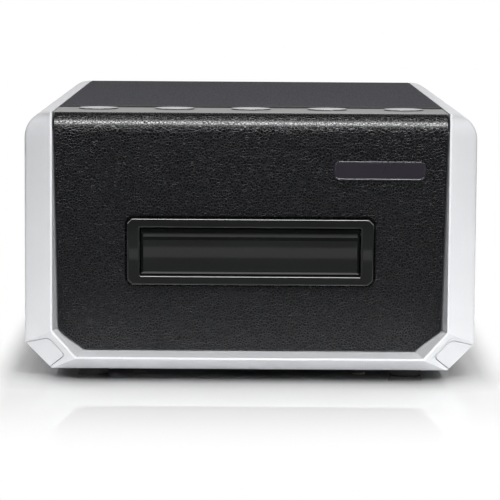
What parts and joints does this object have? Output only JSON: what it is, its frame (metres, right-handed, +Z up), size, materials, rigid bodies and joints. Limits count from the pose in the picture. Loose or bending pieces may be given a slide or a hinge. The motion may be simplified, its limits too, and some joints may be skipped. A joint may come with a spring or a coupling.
{
  "type": "film negative scanner",
  "caption": "Desktop scanner for 35 mm film, with a silver casing, leather-grained front and top, a sprung slot flap, chromed buttons and a motor-driven roller transport.",
  "frame": {"origin": "on the table, under the middle of the casing", "axes": "+Z up, -Y towards the user and the front slot, +X to the user's right; the casing is longest along Y and lowest along Z"},
  "size_m": [0.175, 0.259, 0.1047],
  "materials": {
    "silver_paint": "silver paint on plastic, satin",
    "grained_skin": "black leather-grained covering, satin",
    "black_plastic": "matt",
    "rubber": "matt",
    "strip_grey": "grey paint, satin",
    "circuit_board": "green solder mask",
    "chrome": "bright plated, polished",
    "gloss_black": "glossy black",
    "bright_steel": "ground",
    "sheet_steel": "zinc-plated sheet",
    "gear_plastic": "white acetal",
    "lamp_white": "white",
    "diffuser": "opal acrylic",
    "mirror": "front-silvered",
    "lens_glass": "coated"
  },
  "bodies": {
    "casing": {"silver_shell": "silver_paint", "corner_pad_left": "silver_paint", "corner_pad_right": "silver_paint", "front_panel": "grained_skin", "top_cover": "grained_skin", "rear_panel": "black_plastic", "foot_front_left": "rubber", "foot_front_right": "rubber", "foot_rear_left": "rubber", "foot_rear_right": "rubber", "control_strip": "strip_grey", "button_board": "circuit_board", "slot_bezel": "gloss_black", "front_flap_pin": "bright_steel", "front_flap_spring": "bright_steel", "badge_plate": "gloss_black", "rear_bezel": "black_plastic", "rear_flap_pin": "bright_steel", "rear_flap_spring": "bright_steel", "usb_port": "sheet_steel", "dc_inlet": "black_plastic", "power_switch_body": "black_plastic", "chassis_tray": "sheet_steel", "side_frame_left": "sheet_steel", "side_frame_right": "sheet_steel", "film_bed": "black_plastic", "film_guide": "black_plastic", "drive_motor": "sheet_steel", "motor_bracket": "sheet_steel", "lamp_housing": "sheet_steel", "lamp_board": "lamp_white", "diffuser_plate": "diffuser", "optics_tray": "black_plastic", "scan_mirror": "mirror", "lens_barrel": "black_plastic", "lens_glass": "lens_glass", "lens_clamp": "sheet_steel", "sensor_board": "circuit_board", "main_board": "circuit_board"},
    "front_flap": {"front_flap": "gloss_black"},
    "rear_flap": {"rear_flap": "black_plastic"},
    "button_1": {"button_1": "chrome"},
    "button_2": {"button_2": "chrome"},
    "button_3": {"button_3": "chrome"},
    "button_4": {"button_4": "chrome"},
    "button_5": {"button_5": "chrome"},
    "power_rocker": {"power_rocker": "black_plastic"},
    "front_drive": {"front_drive_shaft": "bright_steel", "front_drive_roller": "rubber", "front_roller_gear": "gear_plastic"},
    "rear_drive": {"rear_drive_shaft": "bright_steel", "rear_drive_roller": "rubber", "rear_roller_gear": "gear_plastic"},
    "front_pinch": {"front_pinch_roller": "rubber"},
    "rear_pinch": {"rear_pinch_roller": "rubber"},
    "front_idler": {"front_idler_gear": "gear_plastic"},
    "rear_idler": {"rear_idler_gear": "gear_plastic"},
    "motor_pinion": {"motor_pinion": "bright_steel"}
  },
  "joints": [
    {"name": "front_flap_turn", "type": "hinge", "parent": "casing", "child": "front_flap", "pos_m": [0, -0.1228, 0.05731], "axis": [1, 0, 0], "range_deg": [0, 80], "stiffness_Nm_per_rad": 0.002, "springref_deg": -17.19},
    {"name": "rear_flap_turn", "type": "hinge", "parent": "casing", "child": "rear_flap", "pos_m": [0, 0.1246, 0.0571], "axis": [1, 0, 0], "range_deg": [0, 80], "stiffness_Nm_per_rad": 0.002, "springref_deg": -17.19},
    {"name": "button_1_press", "type": "slide", "parent": "casing", "child": "button_1", "axis": [0, 0, -1], "range_m": [0, 0.0008], "stiffness_N_per_m": 800, "springref_m": -0.0006},
    {"name": "button_2_press", "type": "slide", "parent": "casing", "child": "button_2", "axis": [0, 0, -1], "range_m": [0, 0.0008], "stiffness_N_per_m": 800, "springref_m": -0.0006},
    {"name": "button_3_press", "type": "slide", "parent": "casing", "child": "button_3", "axis": [0, 0, -1], "range_m": [0, 0.0008], "stiffness_N_per_m": 800, "springref_m": -0.0006},
    {"name": "button_4_press", "type": "slide", "parent": "casing", "child": "button_4", "axis": [0, 0, -1], "range_m": [0, 0.0008], "stiffness_N_per_m": 800, "springref_m": -0.0006},
    {"name": "button_5_press", "type": "slide", "parent": "casing", "child": "button_5", "axis": [0, 0, -1], "range_m": [0, 0.0008], "stiffness_N_per_m": 800, "springref_m": -0.0006},
    {"name": "power_rocker_turn", "type": "hinge", "parent": "casing", "child": "power_rocker", "pos_m": [0.04, 0.124, 0.09], "axis": [1, 0, 0], "range_deg": [0, 16]},
    {"name": "front_drive_turn", "type": "hinge", "parent": "casing", "child": "front_drive", "pos_m": [0, -0.06, 0.0407], "axis": [1, 0, 0], "continuous": true},
    {"name": "rear_drive_turn", "type": "hinge", "parent": "casing", "child": "rear_drive", "pos_m": [0, 0.06, 0.0407], "axis": [1, 0, 0], "continuous": true},
    {"name": "front_idler_turn", "type": "hinge", "parent": "casing", "child": "front_idler", "pos_m": [0.052, -0.027, 0.0407], "axis": [1, 0, 0], "continuous": true},
    {"name": "rear_idler_turn", "type": "hinge", "parent": "casing", "child": "rear_idler", "pos_m": [0.052, 0.027, 0.0407], "axis": [1, 0, 0], "continuous": true},
    {"name": "motor_turn", "type": "hinge", "parent": "casing", "child": "motor_pinion", "pos_m": [0.052, 0, 0.0407], "axis": [1, 0, 0], "continuous": true},
    {"name": "front_pinch_turn", "type": "hinge", "parent": "casing", "child": "front_pinch", "pos_m": [0, -0.06, 0.0577], "axis": [1, 0, 0], "continuous": true},
    {"name": "rear_pinch_turn", "type": "hinge", "parent": "casing", "child": "rear_pinch", "pos_m": [0, 0.06, 0.0577], "axis": [1, 0, 0], "continuous": true}
  ],
  "couplings": [
    {"joint": "front_idler_turn", "follows": "front_drive_turn", "ratio": -0.65},
    {"joint": "motor_turn", "follows": "front_drive_turn", "ratio": 1.8571},
    {"joint": "rear_idler_turn", "follows": "front_drive_turn", "ratio": -0.65},
    {"joint": "rear_drive_turn", "follows": "front_drive_turn", "ratio": 1}
  ]
}
